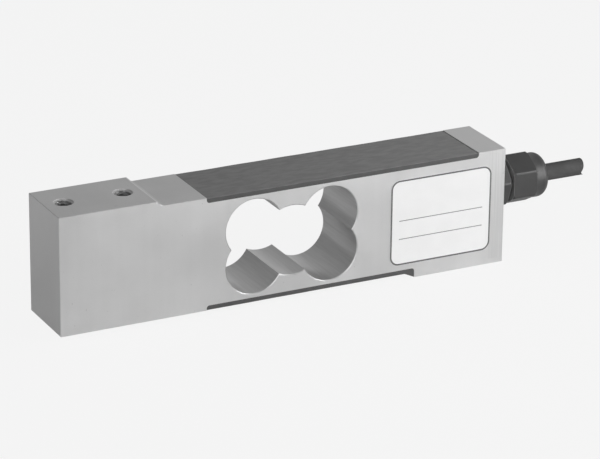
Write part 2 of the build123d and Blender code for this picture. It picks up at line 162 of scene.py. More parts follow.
def rounded_hexagon(angle, across_flats, corner, turn):
    """Distance of a rounded hexagon's edge at each angle.

    Along a flat it is half the width over the cosine of the angle from the flat's middle. Past the
    point where the corner's arc touches the flat, it is where the ray meets that arc.
    """
    flat = across_flats / 2
    sector = math.radians(60)
    off_corner = np.abs((angle - turn + sector / 2) % sector - sector / 2)
    from_middle = sector / 2 - off_corner
    centre = (flat - corner) / math.cos(sector / 2)
    touch = math.atan((flat - corner) * math.tan(sector / 2) / flat)
    across_ray = centre * np.sin(off_corner)
    arc = centre * np.cos(off_corner) + np.sqrt(np.maximum(corner**2 - across_ray**2, 0))
    return np.where(from_middle < touch, flat / np.cos(from_middle), arc)


def screw_lining(centre, along, radius, height, pitch, depth, columns=96, rows_a_turn=10):
    """The threaded wall of a hole: a thin tube whose inner side carries the ridge of a screw.

    At each place the phase is the depth over the pitch less the angle in turns, so the ridge climbs one
    pitch a turn. The ridge is a trapezium of the phase and grows from nothing over a short lead in. The
    tube's outer side is a plain cylinder just inside the steel.
    """
    down = np.linspace(THREAD_START, depth, int(depth / pitch * rows_a_turn))[:, None]
    angle = full_turn(columns)
    phase = (down / pitch - along * angle / (2 * np.pi) - 0.25) % 1.0
    grown = np.clip((down - THREAD_START) / LEAD_IN, 0.0, 1.0)
    ridge = np.clip(1.25 - 2.8 * np.abs(phase - 0.5), 0.0, 1.0) * grown
    inner = radius - LINING_OVERLAP - height * ridge
    outer = np.full((2, 1), radius + LINING_OVERLAP) + 0 * angle
    reach = np.concatenate([inner, outer])
    depths = np.concatenate([down, [[depth], [THREAD_START]]]) + 0 * angle
    x, y, z = centre
    points = [x + reach * np.cos(angle), y + reach * np.sin(angle), z + along * depths]
    return closed_shell(np.stack(points, axis=-1), wrap_rows=True)


# Nodes

def put(tree, kind, sockets=None, **settings):
    """Adds a node with its settings, and fills its sockets with values or with links from other sockets."""
    node = tree.nodes.new(kind)
    for key, value in settings.items():
        setattr(node, key, value)
    for key, value in (sockets or {}).items():
        if isinstance(value, bpy.types.NodeSocket):
            tree.links.new(value, node.inputs[key])
        else:
            node.inputs[key].default_value = value
    return node


def calculated(tree, operation, *values):
    """The result of one calculation on values or sockets."""
    return put(tree, "ShaderNodeMath", dict(enumerate(values)), operation=operation).outputs[0]


def place_along(tree, axis):
    """The place on the object along x, y or z, numbered from 0."""
    place = put(tree, "ShaderNodeTexCoord").outputs["Object"]
    return put(tree, "ShaderNodeSeparateXYZ", {0: place}).outputs[axis]


def distance_from(tree, axis, middle):
    """How far the place along an axis lies from a middle, to either side."""
    return calculated(tree, "ABSOLUTE", calculated(tree, "SUBTRACT", place_along(tree, axis), middle))


def new_group(name, inputs, outputs):
    """An empty shader node group with named inputs and outputs."""
    tree = bpy.data.node_groups.new(name, "ShaderNodeTree")
    for label, kind, default in inputs:
        tree.interface.new_socket(name=label, in_out="INPUT", socket_type=kind).default_value = default
    for label in outputs:
        tree.interface.new_socket(name=label, in_out="OUTPUT", socket_type="NodeSocketFloat")
    return tree, tree.nodes.new("NodeGroupInput"), tree.nodes.new("NodeGroupOutput")


def grain_group():
    """Noise drawn out along chosen directions: grinding marks, moulding grain or broad patches."""
    if "drawn_out_grain" in bpy.data.node_groups:
        return bpy.data.node_groups["drawn_out_grain"]
    tree, given, result = new_group(
        "drawn_out_grain",
        [
            ("Marks per millimetre", "NodeSocketVector", (1.0, 1.0, 1.0)),
            ("Detail", "NodeSocketFloat", 2.0),
            ("Low", "NodeSocketFloat", 0.3),
            ("High", "NodeSocketFloat", 0.7),
        ],
        ["Mask"],
    )
    place = put(tree, "ShaderNodeTexCoord").outputs["Object"]
    scale = put(tree, "ShaderNodeVectorMath", {0: given.outputs[0], 1: (1 / MM,) * 3}, operation="MULTIPLY")
    stretched = put(tree, "ShaderNodeVectorMath", {0: place, 1: scale.outputs[0]}, operation="MULTIPLY")
    noise = put(
        tree, "ShaderNodeTexNoise",
        {"Vector": stretched.outputs[0], "Scale": 1.0, "Detail": given.outputs[1]},
    )
    spread = put(
        tree, "ShaderNodeMapRange",
        {"Value": noise.outputs[0], "From Min": given.outputs[2], "From Max": given.outputs[3]},
        interpolation_type="SMOOTHSTEP",
    )
    tree.links.new(spread.outputs[0], result.inputs[0])
    return tree


def weave_group():
    """Two sets of slanting strands round the cable's axis that pass over and under each other."""
    if "braid_weave" in bpy.data.node_groups:
        return bpy.data.node_groups["braid_weave"]
    tree, given, result = new_group(
        "braid_weave",
        [("Strands", "NodeSocketFloat", 16.0), ("Slant per millimetre", "NodeSocketFloat", 5.0)],
        ["Mask"],
    )
    place = put(tree, "ShaderNodeTexCoord").outputs["Object"]
    x, y, z = put(tree, "ShaderNodeSeparateXYZ", {0: place}).outputs
    angle = calculated(tree, "ARCTAN2", calculated(tree, "SUBTRACT", z, CABLE_HEIGHT * MM), y)
    round_turns = calculated(tree, "MULTIPLY", angle, given.outputs[0])
    along = calculated(tree, "MULTIPLY", calculated(tree, "MULTIPLY", x, 1 / MM), given.outputs[1])
    waves = [
        calculated(tree, "SINE", calculated(tree, operation, round_turns, along))
        for operation in ("ADD", "SUBTRACT")
    ]
    mask = calculated(tree, "MULTIPLY_ADD", calculated(tree, "MULTIPLY", *waves), 0.5, 0.5)
    tree.links.new(mask, result.inputs[0])
    return tree


def grain(tree, marks, detail, low=0.3, high=0.7):
    """The drawn out grain's mask in a material: marks a millimetre along x, y and z, detail and limits."""
    sockets = {0: marks, 1: detail, 2: low, 3: high}
    return put(tree, "ShaderNodeGroup", sockets, node_tree=grain_group()).outputs[0]


def tint(colour, share):
    """A colour made lighter or darker by a share, with its alpha."""
    return [min(channel * share, 1.0) for channel in colour[:3]] + [1.0]


def mixed(tree, factor, low, high):
    """A colour between two by a mask."""
    return put(tree, "ShaderNodeMix", {0: factor, 6: low, 7: high}, data_type="RGBA").outputs[2]


def ranged(tree, mask, low, high, start=0.0, end=1.0):
    """A value that goes from low to high while a mask goes from start to end."""
    sockets = {"Value": mask, "From Min": start, "From Max": end, "To Min": low, "To Max": high}
    return put(tree, "ShaderNodeMapRange", sockets).outputs[0]


def added(tree, *masks):
    """The sum of masks, each given with its weight."""
    total = None
    for mask, weight in masks:
        part = calculated(tree, "MULTIPLY", mask, weight)
        total = part if total is None else calculated(tree, "ADD", total, part)
    return total


def new_material(name, **constants):
    """A material with one Principled shader whose constant sockets are set by name."""
    material = bpy.data.materials.new(name)
    material.use_nodes = True
    tree = material.node_tree
    tree.nodes.clear()
    sockets = {key.replace("_", " "): value for key, value in constants.items()}
    shader = put(tree, "ShaderNodeBsdfPrincipled", sockets)
    put(tree, "ShaderNodeOutputMaterial", {"Surface": shader.outputs[0]})
    return material, tree, shader


def drive(tree, shader, colour, roughness, height=None, strength=0.2, distance=0.02):
    """Feeds what changes over the surface into the shader: its colour, roughness and bump, if it has one."""
    tree.links.new(colour, shader.inputs["Base Color"])
    tree.links.new(roughness, shader.inputs["Roughness"])
    if height is not None:
        sockets = {"Strength": strength, "Distance": distance * MM, "Height": height}
        bump = put(tree, "ShaderNodeBump", sockets)
        tree.links.new(bump.outputs[0], shader.inputs["Normal"])


def patchy(tree, colour, marks, spread):
    """A colour with a fine grain and broad patches of tone, and the fine grain's mask."""
    fine = grain(tree, marks, 3.0)
    broad = grain(tree, (0.15, 0.2, 0.2), 2.0)
    tone = added(tree, (fine, 0.4), (broad, 0.6))
    return mixed(tree, tone, tint(colour, 1 - spread), tint(colour, 1 + spread)), fine


def moulded(name, colour, roughness, marks, spread, strength, **constants):
    """Plastic, rubber, lacquer or film: patches of tone, a grain in the gloss and a fine bump."""
    material, tree, shader = new_material(name, **constants)
    patches, fine = patchy(tree, colour, marks, spread)
    drive(tree, shader, patches, ranged(tree, fine, roughness - 0.05, roughness + 0.05), fine, strength)
    return material


def dress(material, *nodes):
    """Gives CAD nodes their material."""
    for name in nodes:
        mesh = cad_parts[name].data
        mesh.materials.clear()
        mesh.materials.append(material)


# Settings

def colour_setting(name, description, grey):
    """A colour that a user can change, grey at first."""
    return FloatVectorProperty(
        name=name, description=description, default=(grey,) * 3, subtype="COLOR", min=0, max=1,
    )


def length_setting(name, description, default, least, precision=5):
    """A length in metres that a user can change."""
    return FloatProperty(
        name=name, description=description, default=default, min=least, unit="LENGTH", precision=precision,
    )


class LOADCELL_PG_steel(bpy.types.PropertyGroup):
    colour: colour_setting("Steel", "Colour of the ground stainless steel", 0.78)
    gloss: FloatProperty(
        name="Roughness", description="How much the ground faces blur what they reflect",
        default=0.36, min=0.05, max=1, subtype="FACTOR",
    )
    thread_pitch: length_setting(
        "Thread pitch", "Climb of the tapped holes' thread in one turn", 0.001, 0.0002,
    )
    thread_height: length_setting(
        "Thread height", "How far the tapped holes' thread stands in from its outer radius", 0.0005, 0.0001,
    )


class LOADCELL_PG_compound(bpy.types.PropertyGroup):
    colour: colour_setting("Compound", "Colour of the potting compound", 0.24)
    unevenness: length_setting(
        "Unevenness", "Height of the slow waves in the compound's open surface", 0.00005, 0, 6,
    )
    edge_round: length_setting("Edge radius", "Radius of the compound's open edges", 0.00015, 0.00005)


class LOADCELL_PG_label(bpy.types.PropertyGroup):
    film: colour_setting("Film", "Colour of the bare label", 0.86)
    ink: colour_setting("Border", "Colour of the label's border line", 0.12)
    border: length_setting("Border width", "Width of the line along the label's edge", 0.0005, 0.0001)
    rule: length_setting("Rule width", "Width of the two ruled lines to write on", 0.00022, 0.00005)


class LOADCELL_PG_gland(bpy.types.PropertyGroup):
    colour: colour_setting("Gland", "Colour of the moulded gland", 0.05)
    across_flats: length_setting("Across flats", "Width of the gland's two hexagons", 0.0144, 0.008)
    dome_radius: length_setting("Dome radius", "Radius of the dome nut's round part", 0.0071, 0.004)
    dome_round: length_setting(
        "Shoulder radius", "Radius of the dome nut's rounded shoulder", 0.00255, 0.0005,
    )
    thread_pitch: length_setting("Thread pitch", "Climb of the gland's thread in one turn", 0.0015, 0.0005)


class LOADCELL_PG_cable(bpy.types.PropertyGroup):
    colour: colour_setting("Jacket", "Colour of the cable's jacket", 0.085)
    diameter: length_setting("Diameter", "Outer diameter of the cable in the gland's seal", 0.005, 0.002)
    relaxed: length_setting(
        "Free diameter", "Outer diameter of the cable outside the seal that squeezes it", 0.0054, 0.002,
    )
    wall: length_setting("Wall", "Thickness of the cable's jacket", 0.00059, 0.0002)


class LOADCELL_PG_stage(bpy.types.PropertyGroup):
    paper: FloatProperty(
        name="Background", description="Brightness of the pale background, where 1 is white",
        default=0.93, min=0, max=1, subtype="FACTOR",
    )
    floor_share: FloatProperty(
        name="Even floor", description="Share of the floor that shows the background's even tone",
        default=0.95, min=0, max=1, subtype="FACTOR",
    )
    mirrored: FloatProperty(
        name="Background in reflections", description="Share of the background that metal shows",
        default=0.08, min=0, max=1, subtype="FACTOR",
    )
    bright_side: FloatProperty(
        name="Bright side", description="Brightness of the room on its bright side",
        default=0.43, min=0, max=2,
    )
    dark_side: FloatProperty(
        name="Dark side", description="Brightness of the room on its dark side",
        default=0.09, min=0, max=2,
    )
    key_power: FloatProperty(
        name="Key lamp", description="Power of the lamp in front of the cable end",
        default=3.3, min=0, unit="POWER",
    )
    fill_power: FloatProperty(
        name="Fill lamp", description="Power of the lamp in front of the load end",
        default=0.88, min=0, unit="POWER",
    )
    rear_power: FloatProperty(
        name="Rear lamp", description="Power of the soft lamp behind the cable end",
        default=0.09, min=0, unit="POWER",
    )
    turn: FloatProperty(
        name="Camera turn", description="How far the camera looks to the right of straight on",
        default=math.radians(26.99), subtype="ANGLE",
    )
    tilt: FloatProperty(
        name="Camera tilt", description="How far the camera looks down", default=math.radians(21.39),
        subtype="ANGLE",
    )
    roll: FloatProperty(
        name="Camera roll", description="How far the camera leans", default=math.radians(0.65),
        subtype="ANGLE",
    )
    distance: FloatProperty(
        name="Camera distance", description="Distance from the camera to the beam's middle", default=0.9819,
        min=0.1, unit="LENGTH", precision=4,
    )
    lens: FloatProperty(
        name="Lens", description="Focal length of the camera on a 36 mm frame, in millimetres",
        default=192.96, min=20,
    )


class LOADCELL_PG_all(bpy.types.PropertyGroup):
    steel: PointerProperty(type=LOADCELL_PG_steel, name="Steel")
    compound: PointerProperty(type=LOADCELL_PG_compound, name="Compound")
    label: PointerProperty(type=LOADCELL_PG_label, name="Label")
    gland: PointerProperty(type=LOADCELL_PG_gland, name="Gland")
    cable: PointerProperty(type=LOADCELL_PG_cable, name="Cable")
    stage: PointerProperty(type=LOADCELL_PG_stage, name="Stage")


# Cable, made first because its route is fixed

def spline_points(name, controls):
    """Points along a NURBS spline through the route's control points, in millimetres."""
    curve = bpy.data.curves.new(name, "CURVE")
    curve.dimensions = "3D"
    curve.resolution_u = 24
    spline = curve.splines.new("NURBS")
    spline.points.add(len(controls) - 1)
    for point, place in zip(spline.points, controls):
        point.co = [value * MM for value in place] + [1.0]
    spline.order_u = 3
    spline.use_endpoint_u = True
    carrier = bpy.data.objects.new(name, curve)
    line = bpy.data.meshes.new_from_object(carrier)
    points = np.empty(len(line.vertices) * 3)
    line.vertices.foreach_get("co", points)
    bpy.data.objects.remove(carrier)
    bpy.data.curves.remove(curve)
    bpy.data.meshes.remove(line)
    return points.reshape(-1, 3) / MM


def cut_reach(height):
    """How far the rough cut lies from the cable's end at a height over its axis.

    Straight runs join a few places: the upper edge, a hollow that ends in a notch, and a pointed lip below.
    """
    return np.interp(height, CUT_HEIGHTS, CUT_REACHES)


def cut_tube(path, radius, free_radius, wall, stations=90, columns=64):
    """A tube along a path that ends in the wavy cut.

    A point at a share of the way lies at that share of its own column's length, which the cut sets, so the
    last ring follows the cut. Rows run out along the outside and back along the inside. Past the seal the
    outside grows smoothly to its free radius.
    """
    steps = np.linalg.norm(np.diff(path, axis=0), axis=1)
    length = np.concatenate([[0.0], np.cumsum(steps)])
    share = np.linspace(0, 1, stations)
    share = 1 - (1 - share) ** 1.5
    rings = []
    angle = full_turn(columns)
    across = np.stack([0 * angle, np.cos(angle), np.sin(angle)], axis=-1)
    sides = ((free_radius, free_radius - radius, share), (radius - wall, 0.0, share[::-1]))
    for end_radius, squeeze, shares in sides:
        reach = length[-1] + cut_reach(end_radius * np.sin(angle))
        run = shares[:, None] * reach
        centre = np.stack([np.interp(run, length, path[:, axis]) for axis in range(3)], axis=-1)
        centre[..., 0] += np.maximum(run - length[-1], 0)
        freed = np.clip(centre[..., :1] - SEAL_SQUEEZE_END, 0.0, 1.0)
        ring_radius = end_radius - squeeze * (1 - freed * freed * (3 - 2 * freed))
        rings.append(centre + ring_radius * across)
    return closed_shell(np.concatenate(rings), wrap_rows=True)


class LOADCELL_OT_cable(bpy.types.Operator):
    """Makes the cable's jacket with its wavy cut, and dresses its braid, cores and conductors"""

    bl_idname = "load_cell.cable"
    bl_label = "Cable"

    def execute(self, context):
        settings = context.scene.load_cell.cable
        route = spline_points("cable_route", [
            (SHEATH_START, 0.0, CABLE_HEIGHT),
            ((SHEATH_START + CABLE_END) / 2, 0.0, CABLE_HEIGHT),
            (CABLE_END, 0.0, CABLE_HEIGHT),
        ])
        radius, wall = settings.diameter / 2 / MM, settings.wall / MM
        jacket = moulded(
            "cable_jacket", settings.colour, 0.75, (1.2, 4.0, 4.0), 0.15, 0.25, Specular_IOR_Level=0.2,
        )
        tube = cut_tube(route, radius, settings.relaxed / 2 / MM, wall)
        piece = add_piece("cable_jacket", [tube], jacket)
        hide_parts("cable_sheath")
        self.dress_inner_layers()
        return {"FINISHED"}

    def dress_inner_layers(self):
        """Finishes of the layers that the cut shows."""
        braid, tree, shader = new_material("shield_braid", Metallic=1.0)
        weave = put(tree, "ShaderNodeGroup", {}, node_tree=weave_group()).outputs[0]
        drive(
            tree, shader, mixed(tree, weave, tint((0.5, 0.49, 0.48), 0.5), tint((0.66, 0.65, 0.63), 1.1)),
            ranged(tree, weave, 0.5, 0.3), weave, strength=0.6, distance=0.05,
        )
        dress(braid, "cable_shield")
        cores = {
            "core_green": (0.03, 0.22, 0.07), "core_black": (0.015, 0.015, 0.015),
            "core_white": (0.78, 0.78, 0.76), "core_red": (0.5, 0.02, 0.02),
        }
        for node, colour in cores.items():
            dress(moulded(node, colour, 0.35, (1.0, 6.0, 6.0), 0.08, 0.1), node)
        copper, tree, shader = new_material("conductor_copper", Metallic=1.0)
        strands = grain(tree, (0.3, 9.0, 9.0), 1.0)
        drive(
            tree, shader, mixed(tree, strands, (0.5, 0.24, 0.12, 1.0), (0.8, 0.46, 0.28, 1.0)),
            ranged(tree, strands, 0.4, 0.25), strands, strength=0.5, distance=0.05,
        )
        dress(copper, "core_conductors")


# Steel

class LOADCELL_OT_steel(bpy.types.Operator):
    """Finishes the beam's ground faces and cuts the screw threads of its four holes"""

    bl_idname = "load_cell.steel"
    bl_label = "Ground steel and threads"

    def execute(self, context):
        settings = context.scene.load_cell.steel
        steel = self.ground_steel(settings)
        dress(steel, "beam")
        pitch, height = settings.thread_pitch / MM, settings.thread_height / MM
        tapped = self.tapped_steel_painted_shade(settings)
        pads = {"load_end_threads": (LOAD_PATTERN, UPPER_PAD, -1), "fixed_end_threads": (0.0, 0.0, 1)}
        for name, (x, z, along) in pads.items():
            holes = [(x - HOLE_SPACING / 2, 0, z), (x + HOLE_SPACING / 2, 0, z)]
            depth = HOLE_DEPTH - THREAD_STOP
            linings = [screw_lining(hole, along, HOLE_RADIUS, height, pitch, depth) for hole in holes]
            add_piece(name, linings, tapped, smooth_angle=25.0)
        return {"FINISHED"}

    def tapped_steel_painted_shade(self, settings):
        """Cut thread with painted shade: darker than the beam's steel, and darker still with depth from the
        pad's face.
        """
        material, tree, shader = new_material("tapped_steel_painted_shade", Metallic=1.0)
        face = UPPER_PAD / 2 * MM
        distance = distance_from(tree, 2, face)
        # Painted shade: from 0.5 mm to 2.2 mm down from the pad's face the thread darkens from 0.8 to 0.34
        # of the steel's colour.
        painted_depth_shading = ranged(tree, distance, 0.0, 1.0, face - 2.2 * MM, face - 0.5 * MM)
        marks = grain(tree, (4.0, 4.0, 1.0), 2.0)
        drive(
            tree, shader,
            mixed(tree, painted_depth_shading, tint(settings.colour, 0.34), tint(settings.colour, 0.8)),
            ranged(tree, marks, 0.42, 0.55), marks, strength=0.1, distance=0.01,
        )
        return material

    def ground_steel(self, settings):
        """Ground faces with lengthwise marks, bands across them and blemishes, a painted highlight on the
        load pad's edge at the step, and a bored opening.
        """
        material, tree, shader = new_material("ground_steel", Metallic=1.0)
        colour = settings.colour
        marks = grain(tree, (0.6, 14.0, 14.0), 3.0, 0.25, 0.75)
        bands = grain(tree, (0.25, 0.01, 0.01), 2.0)
        patches = grain(tree, (0.05, 0.06, 0.06), 3.0)
        specks = grain(tree, (0.9, 0.9, 0.9), 4.0, 0.70, 0.78)
        tone = added(tree, (marks, 0.25), (bands, 0.2), (patches, 0.55))
        even = mixed(tree, tone, tint(colour, 0.95), tint(colour, 1.05))
        scratches = grain(tree, (3.0, 0.03, 0.03), 3.0)
        scratched = mixed(tree, scratches, tint(colour, 0.96), tint(colour, 1.04))
        ground = mixed(tree, self.near_cable_end(tree), even, scratched)
        blemished = mixed(tree, specks, ground, tint(colour, 0.84))
        # Painted highlight: the load pad's edge at the step is made 1.27 times as light.
        step_highlighted = mixed(tree, self.painted_step_highlight(tree), blemished, tint(colour, 1.27))
        cutter_marks = grain(tree, (1.6, 0.07, 1.6), 3.0, 0.2, 0.8)
        bored = mixed(tree, cutter_marks, tint(colour, 0.86), tint(colour, 0.97))
        inside = self.inside_opening(tree)
        blur = added(tree, (marks, 0.6), (patches, 0.4))
        drive(
            tree, shader, mixed(tree, inside, step_highlighted, bored),
            ranged(tree, blur, settings.gloss - 0.06, settings.gloss + 0.06),
            mixed(tree, inside, marks, cutter_marks), strength=0.08, distance=0.01,
        )
        return material

    def within_box(self, tree, middle, reach):
        """1 inside a box, given its middle and how far it reaches along each axis, and 0 outside."""
        place = put(tree, "ShaderNodeTexCoord").outputs["Object"]
        middle, reach = np.array(middle) * MM, np.array(reach) * MM
        from_middle = put(tree, "ShaderNodeVectorMath", {0: place, 1: middle}, operation="SUBTRACT")
        distance = put(tree, "ShaderNodeVectorMath", {0: from_middle.outputs[0]}, operation="ABSOLUTE")
        inside = 1.0
        for axis, limit in zip(put(tree, "ShaderNodeSeparateXYZ", {0: distance.outputs[0]}).outputs, reach):
            inside = calculated(tree, "MULTIPLY", inside, calculated(tree, "LESS_THAN", axis, limit))
        return inside

    def near_cable_end(self, tree):
        """1 on the beam's last stretch by the cable end, below its top, which is scratched across."""
        return self.within_box(tree, (13.0, 0.0, UPPER_PAD / 2), (3.0, 20.0, 18.0))

    def inside_opening(self, tree):
        """1 on the walls of the opening, which lie in from the beam's sides, its top and its bottom."""
        return self.within_box(tree, (-58.0, 0.0, UPPER_PAD / 2), (30.0, 11.25, 16.5))

    def painted_step_highlight(self, tree):
        """1 on the load pad's upper edge at the step, where a bright highlight is painted."""
        return self.within_box(tree, (UPPER_STEP, 0.0, UPPER_PAD), (0.4, 20.0, 0.5))


# Potting compound

def slow_waves(x, y, seed, count=14):
    """A sum of sine waves over the surface, longer along the beam than across it, between about -1 and 1."""
    draw = np.random.default_rng(seed)
    total = 0.0
    for _ in range(count):
        along, across = draw.uniform(0.05, 0.5), draw.uniform(0.3, 1.6)
        total = total + np.sin(along * x + across * y + draw.uniform(0, 2 * np.pi)) * draw.uniform(0.4, 1.0)
    return total / math.sqrt(count) / 1.5


def quarter_round(distance, radius):
    """Depth of a rounded edge under its face: a quarter circle, over the distance in from the edge."""
    inside = np.clip(distance, 0, radius)
    return radius - np.sqrt(np.maximum(radius**2 - (radius - inside) ** 2, 0))


def compound_slab(start, end, lift, edge, unevenness, seed):
    """The compound in a groove as a closed skin, its open surface up.

    The open surface lies at the given lift over the groove's floor, less a quarter circle along its four
    edges, plus slow waves. The floor side is flat with the cutter's round corners at both ends. Columns go
    from the front edge across the open surface to the back, and home along the floor.
    """
    half = BEAM_HALF_WIDTH
    end_part = np.concatenate([np.linspace(0, 1.2, 14) ** 1.6, np.linspace(1.6, 3.0, 6)])
    middle_part = np.linspace(start + 3, end - 3, 200)
    x = np.unique(np.concatenate([start + end_part, middle_part, end - end_part]))[:, None]
    side_part = np.linspace(0, 1, 9) ** 1.6 * edge
    middle_part = np.linspace(-half + edge, half - edge, 44)
    y = np.unique(np.concatenate([-half + side_part, middle_part, half - side_part]))[None, :]
    from_end = np.minimum(x - start, end - x)
    from_side = np.minimum(y + half, half - y)
    calm_end = np.clip(from_end, 0, 1)
    waves = slow_waves(x, y, seed) * unevenness * calm_end
    top = lift(x) - quarter_round(from_end, edge) - quarter_round(from_side, edge) + waves
    bow = 0.02 * slow_waves(x, 0.0, seed + 1) * calm_end
    top_y = y + bow * np.sign(y) * (np.abs(y) > half - edge)
    floor = quarter_round(from_end, GROOVE_CORNER) + 0 * y[:, :2]
    floor_y = np.array([[half - COMPOUND_CLEARANCE, -half + COMPOUND_CLEARANCE]]) + 0 * x
    heights = np.concatenate([top, floor], axis=1)
    sides = np.concatenate([top_y, floor_y], axis=1)
    along = np.broadcast_to(x, heights.shape)
    return np.stack([along, sides, heights], axis=-1)


class LOADCELL_OT_compound(bpy.types.Operator):
    """Pours the compound of the upper and the lower groove with its uneven open surface"""

    bl_idname = "load_cell.compound"
    bl_label = "Potting compound"

    def execute(self, context):
        settings = context.scene.load_cell.compound
        material = self.compound_finish(settings.colour)
        edge, unevenness = settings.edge_round / MM, settings.unevenness / MM
        level = GROOVE_DEPTH - COMPOUND_DROP
        start = GROOVE_START + COMPOUND_CLEARANCE
        end = UPPER_GROOVE_END - COMPOUND_CLEARANCE
        top = compound_slab(start, end, lambda x: level + 0 * x, edge, unevenness, 3)
        top[..., 2] += UPPER_FLAT - GROOVE_DEPTH
        end = LOWER_WALL - COMPOUND_CLEARANCE
        bottom = compound_slab(start, end, lambda x: level + self.bead(x, end), edge, unevenness, 8)
        bottom[..., 2] = LOWER_FLAT + GROOVE_DEPTH - bottom[..., 2]
        for side, slab in (("top", top), ("bottom", bottom)):
            piece = add_piece(
                side + "_compound", [closed_shell(slab)], material,
                smooth_angle=50.0, side=self.side(slab),
            )
            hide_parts(side + "_potting")
        return {"FINISHED"}

    def bead(self, x, end):
        """How far the compound rises at the pad's wall: a straight slope over its last stretch."""
        return BEAD_HEIGHT * np.clip((x - end) / BEAD_LENGTH + 1, 0, 1)

    def side(self, grid):
        """1 on the points of the long sides, where the compound was cut level with the beam, else 0."""
        return np.abs(grid[..., 1]) > BEAM_HALF_WIDTH - CUT_BAND

    def compound_finish(self, colour):
        """Matt compound with lengthwise marks, mottling and a few pale grains, darker on its cut sides."""
        material, tree, shader = new_material("potting_compound", Specular_IOR_Level=0.35)
        streaks = grain(tree, (0.2, 5.0, 5.0), 4.0, 0.25, 0.75)
        mottle = grain(tree, (0.25, 0.7, 0.7), 5.0)
        grains = grain(tree, (3.0, 3.0, 3.0), 2.0, 0.55, 0.75)
        along = place_along(tree, 0)
        fading = ranged(tree, along, 0.0, 1.0, GROOVE_START * MM, UPPER_GROOVE_END * MM)
        tone = added(tree, (streaks, 0.3), (mottle, 0.3), (grains, 0.1), (fading, 0.3))
        side = put(tree, "ShaderNodeAttribute", attribute_name="side").outputs["Fac"]
        open_face = mixed(tree, tone, tint(colour, 0.72), tint(colour, 1.32))
        cut_side = mixed(tree, tone, tint(colour, 0.3), tint(colour, 0.45))
        drive(
            tree, shader, mixed(tree, side, open_face, cut_side),
            ranged(tree, streaks, 0.5, 0.75), added(tree, (streaks, 0.5), (grains, 0.5)),
            strength=0.4, distance=0.04,
        )
        return material


# Label

def rounded_frame(x_span, z_span, corner, inset, columns=12):
    """Points round a rounded rectangle set in from its edge: four quarter circles, joined straight."""
    left, right = x_span[0] + corner, x_span[1] - corner
    low, high = z_span[0] + corner, z_span[1] - corner
    centres = np.array([(right, high), (left, high), (left, low), (right, low)])
    angle = np.linspace(0, np.pi / 2, columns)[None, :] + np.arange(4)[:, None] * np.pi / 2
    x = centres[:, :1] + (corner - inset) * np.cos(angle)
    z = centres[:, 1:] + (corner - inset) * np.sin(angle)
    return x.ravel(), z.ravel()


class LOADCELL_OT_label(bpy.types.Operator):
    """Finishes the bare label film and prints the line along its edge"""

    bl_idname = "load_cell.label"
    bl_label = "Label"

    def execute(self, context):
        settings = context.scene.load_cell.label
        film = moulded("label_film", settings.film, 0.4, (3.0, 3.0, 3.0), 0.02, 0.05)
        dress(film, "label")
        ink = moulded("label_border_ink", settings.ink, 0.5, (4.0, 4.0, 4.0), 0.1, 0.05)
        low, high = (np.array(corner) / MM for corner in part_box("label"))
        outer, inner = BORDER_INSET, BORDER_INSET + settings.border / MM
        under, over = low[1] + INK_SUNK, low[1] - INK_RAISED
        rows = []
        for inset, y in ((outer, under), (outer, over), (inner, over), (inner, under)):
            x, z = rounded_frame((low[0], high[0]), (low[2], high[2]), LABEL_CORNER, inset)
            rows.append(np.stack([x, np.full_like(x, y), z], axis=-1))
        add_piece("label_border", [closed_shell(np.array(rows), wrap_rows=True)], ink)
        rules = [self.bar(low, high, height, settings.rule / MM) for height in RULE_HEIGHTS]
        add_piece("label_rules", rules, ink)
        return {"FINISHED"}

    def bar(self, low, high, height, width):
        """A raised bar along the label at a height over its lower edge, as a ring of four corners swept."""
        x = np.array([low[0] + LABEL_CORNER, high[0] - LABEL_CORNER])[:, None]
        y = low[1] + np.array([[INK_SUNK, -INK_RAISED, -INK_RAISED, INK_SUNK]])
        z = low[2] + height + width * np.array([[0.0, 0.0, 1.0, 1.0]])
        return closed_shell(np.stack(np.broadcast_arrays(x, y, z), axis=-1))


# Gland

